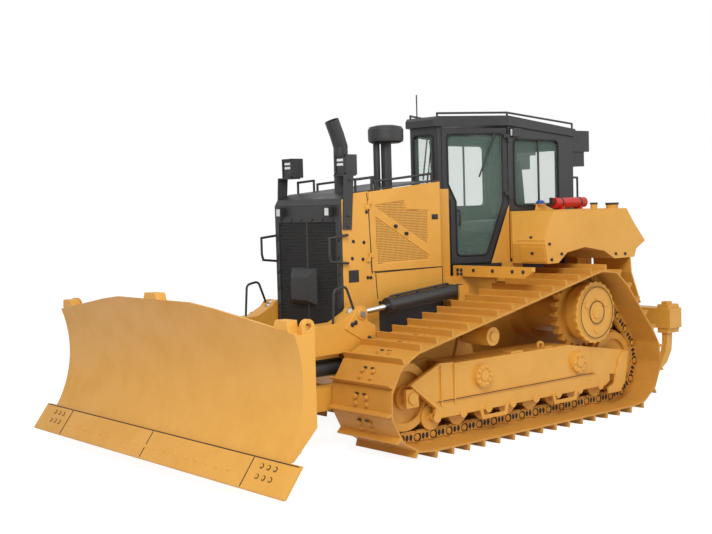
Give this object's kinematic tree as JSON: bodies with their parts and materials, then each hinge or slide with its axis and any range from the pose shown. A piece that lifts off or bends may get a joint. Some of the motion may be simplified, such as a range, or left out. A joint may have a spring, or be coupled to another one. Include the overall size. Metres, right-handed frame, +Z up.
{
  "type": "tracked bulldozer with angling blade and ripper",
  "caption": "Tracked bulldozer on wide shoes with an angling, tilting blade on a C-frame, a glazed cab with angled doors, and a rear ripper on parallel links.",
  "frame": {"origin": "on the ground under the centre of the whole machine's bounding box", "axes": "+X towards the blade, +Y to the driver's left, +Z up"},
  "size_m": [6.746, 4.116, 3.385],
  "materials": {
    "yellow_paint": "satin",
    "black_paint": "satin",
    "engine_grey": "matte",
    "window_glass": "gloss",
    "seat_cloth": "matte",
    "dark_plastic": "matte",
    "red_paint": "gloss",
    "yellow_track_paint": "satin",
    "chrome_rod": "polished"
  },
  "bodies": {
    "tractor": {"main_frame": "yellow_paint", "engine": "engine_grey", "radiator_guard": "black_paint", "grille": "black_paint", "hood_panels": "yellow_paint", "hood_lower": "black_paint", "hood_top": "black_paint", "exhaust_stack": "black_paint", "air_precleaner": "black_paint", "front_lamps": "black_paint", "handrails": "black_paint", "cab_floor": "black_paint", "step_beams": "yellow_paint", "cab_front": "black_paint", "cab_side_left": "black_paint", "cab_side_right": "black_paint", "cab_rear_wall": "black_paint", "cab_roof": "black_paint", "cab_glass": "window_glass", "seat": "seat_cloth", "consoles": "dark_plastic", "fender_left": "yellow_paint", "fender_right": "yellow_paint", "fender_fittings": "red_paint", "roof_unit": "black_paint", "track_left": "yellow_track_paint", "track_right": "yellow_track_paint", "rollers": "yellow_paint", "track_frames": "yellow_paint", "final_drives": "yellow_paint", "ripper_mount": "yellow_paint"},
    "c_frame": {"c_frame_arms": "yellow_paint", "c_frame_beam": "yellow_paint"},
    "lift_barrel_pair": {"lift_barrels": "black_paint"},
    "lift_rod_pair": {"lift_rods": "chrome_rod"},
    "swivel": {"blade_swivel": "yellow_paint"},
    "blade_body": {"blade": "yellow_paint", "cutting_edge": "yellow_paint"},
    "angle_trunnion_l": {"angle_trunnion_left": "yellow_paint"},
    "angle_trunnion_r": {"angle_trunnion_right": "yellow_paint"},
    "angle_barrel_l": {"angle_barrel_left": "black_paint"},
    "angle_barrel_r": {"angle_barrel_right": "black_paint"},
    "angle_rod_l": {"angle_rod_left": "chrome_rod"},
    "angle_rod_r": {"angle_rod_right": "chrome_rod"},
    "tilt_barrel_body": {"tilt_barrel": "black_paint"},
    "tilt_rod_body": {"tilt_rod": "chrome_rod"},
    "engine_door_l": {"engine_door_left": "yellow_paint"},
    "engine_door_r": {"engine_door_right": "yellow_paint"},
    "cab_door_l": {"cab_door_left": "black_paint", "door_glass_left": "window_glass"},
    "cab_door_r": {"cab_door_right": "black_paint", "door_glass_right": "window_glass"},
    "ripper_lower": {"ripper_frame": "yellow_paint"},
    "ripper_upper": {"ripper_links": "yellow_paint"},
    "ripper_carriage": {"ripper_beam": "yellow_paint", "ripper_shanks": "yellow_paint"},
    "ripper_barrel_pair": {"ripper_barrels": "black_paint"},
    "ripper_rod_pair": {"ripper_rods": "chrome_rod"}
  },
  "joints": [
    {"name": "blade_lift", "type": "hinge", "parent": "tractor", "child": "c_frame", "pos_m": [0.477, 0, 0.615], "axis": [0, 1, 0], "range_deg": [-19, 15]},
    {"name": "lift_barrel_turn", "type": "hinge", "parent": "tractor", "child": "lift_barrel_pair", "pos_m": [0.037, 0, 1.362], "axis": [0, 1, 0], "range_deg": [-12.56, 10.02]},
    {"name": "lift_rod_slide", "type": "slide", "parent": "lift_barrel_pair", "child": "lift_rod_pair", "axis": [0.9959, 0, -0.0908], "range_m": [-0.2421, 0.192]},
    {"name": "blade_angle", "type": "hinge", "parent": "c_frame", "child": "swivel", "pos_m": [2.737, 0, 0.55], "axis": [0, 0, 1], "range_deg": [-24, 24]},
    {"name": "blade_tilt", "type": "hinge", "parent": "swivel", "child": "blade_body", "pos_m": [2.737, 0, 0.55], "axis": [1, 0, 0], "range_deg": [-7, 7]},
    {"name": "tilt_barrel_turn", "type": "hinge", "parent": "swivel", "child": "tilt_barrel_body", "pos_m": [2.837, 0, 1.22], "axis": [1, 0, 0], "range_deg": [-7.5, 7.5]},
    {"name": "tilt_rod_slide", "type": "slide", "parent": "tilt_barrel_body", "child": "tilt_rod_body", "axis": [0, -1, 0], "range_m": [-0.0857, 0.0857]},
    {"name": "angle_trunnion_l_turn", "type": "hinge", "parent": "c_frame", "child": "angle_trunnion_l", "pos_m": [1.427, 0.605, 0.76], "axis": [0, 0, 1], "range_deg": [-1.82, 1.82]},
    {"name": "angle_barrel_l_rise", "type": "hinge", "parent": "angle_trunnion_l", "child": "angle_barrel_l", "pos_m": [1.427, 0.605, 0.76], "axis": [-0.0219, 0.9998, 0], "range_deg": [-3.74, 3.74]},
    {"name": "angle_rod_l_slide", "type": "slide", "parent": "angle_barrel_l", "child": "angle_rod_l", "axis": [0.9998, 0.0219, 0], "range_m": [-0.2692, 0.2692]},
    {"name": "angle_trunnion_r_turn", "type": "hinge", "parent": "c_frame", "child": "angle_trunnion_r", "pos_m": [1.427, -0.605, 0.76], "axis": [0, 0, 1], "range_deg": [-1.82, 1.82]},
    {"name": "angle_barrel_r_rise", "type": "hinge", "parent": "angle_trunnion_r", "child": "angle_barrel_r", "pos_m": [1.427, -0.605, 0.76], "axis": [0.0219, 0.9998, 0], "range_deg": [-3.74, 3.74]},
    {"name": "angle_rod_r_slide", "type": "slide", "parent": "angle_barrel_r", "child": "angle_rod_r", "axis": [0.9998, -0.0219, 0], "range_m": [-0.2692, 0.2692]},
    {"name": "cab_door_left_open", "type": "hinge", "parent": "tractor", "child": "cab_door_l", "pos_m": [-0.81272, 0.57945, 2.3], "axis": [0, 0, 1], "range_deg": [0, 70]},
    {"name": "cab_door_right_open", "type": "hinge", "parent": "tractor", "child": "cab_door_r", "pos_m": [-0.81272, -0.57945, 2.3], "axis": [0, 0, -1], "range_deg": [0, 70]},
    {"name": "engine_door_left_open", "type": "hinge", "parent": "tractor", "child": "engine_door_l", "pos_m": [1.107, 0.51, 1.9], "axis": [0, 0, -1], "range_deg": [0, 85]},
    {"name": "engine_door_right_open", "type": "hinge", "parent": "tractor", "child": "engine_door_r", "pos_m": [1.107, -0.51, 1.9], "axis": [0, 0, 1], "range_deg": [0, 85]},
    {"name": "ripper_lift", "type": "hinge", "parent": "tractor", "child": "ripper_lower", "pos_m": [-2.293, 0, 0.56], "axis": [0, -1, 0], "range_deg": [-25, 40]},
    {"name": "ripper_link_turn", "type": "hinge", "parent": "tractor", "child": "ripper_upper", "pos_m": [-2.293, 0, 0.96], "axis": [0, -1, 0], "range_deg": [-25.5, 40.5]},
    {"name": "ripper_level", "type": "hinge", "parent": "ripper_lower", "child": "ripper_carriage", "pos_m": [-3.063, 0, 0.74], "axis": [0, -1, 0], "range_deg": [-40.5, 25.5]},
    {"name": "ripper_barrel_turn", "type": "hinge", "parent": "tractor", "child": "ripper_barrel_pair", "pos_m": [-2.343, 0, 1.36], "axis": [0, -1, 0], "range_deg": [-1.62, 2.3]},
    {"name": "ripper_rod_slide", "type": "slide", "parent": "ripper_barrel_pair", "child": "ripper_rod_pair", "axis": [-0.3243, 0, -0.9459], "range_m": [-0.1283, 0.2028]}
  ],
  "couplings": [
    {"joint": "lift_barrel_turn", "follows": "blade_lift", "ratio": 0.635},
    {"joint": "lift_rod_slide", "follows": "blade_lift", "m_per_rad": 0.71815},
    {"joint": "tilt_barrel_turn", "follows": "blade_tilt", "ratio": 1},
    {"joint": "tilt_rod_slide", "follows": "blade_tilt", "m_per_rad": 0.66896},
    {"joint": "angle_trunnion_l_turn", "follows": "blade_angle", "ratio": 0.055},
    {"joint": "angle_barrel_l_rise", "follows": "blade_tilt", "ratio": -0.46339},
    {"joint": "angle_rod_l_slide", "follows": "blade_angle", "m_per_rad": -0.633},
    {"joint": "angle_trunnion_r_turn", "follows": "blade_angle", "ratio": 0.055},
    {"joint": "angle_barrel_r_rise", "follows": "blade_tilt", "ratio": 0.46339},
    {"joint": "angle_rod_r_slide", "follows": "blade_angle", "m_per_rad": 0.633},
    {"joint": "ripper_link_turn", "follows": "ripper_lift", "ratio": 1},
    {"joint": "ripper_level", "follows": "ripper_lift", "ratio": -1},
    {"joint": "ripper_barrel_turn", "follows": "ripper_lift", "ratio": 0.045},
    {"joint": "ripper_rod_slide", "follows": "ripper_lift", "m_per_rad": 0.28478}
  ]
}
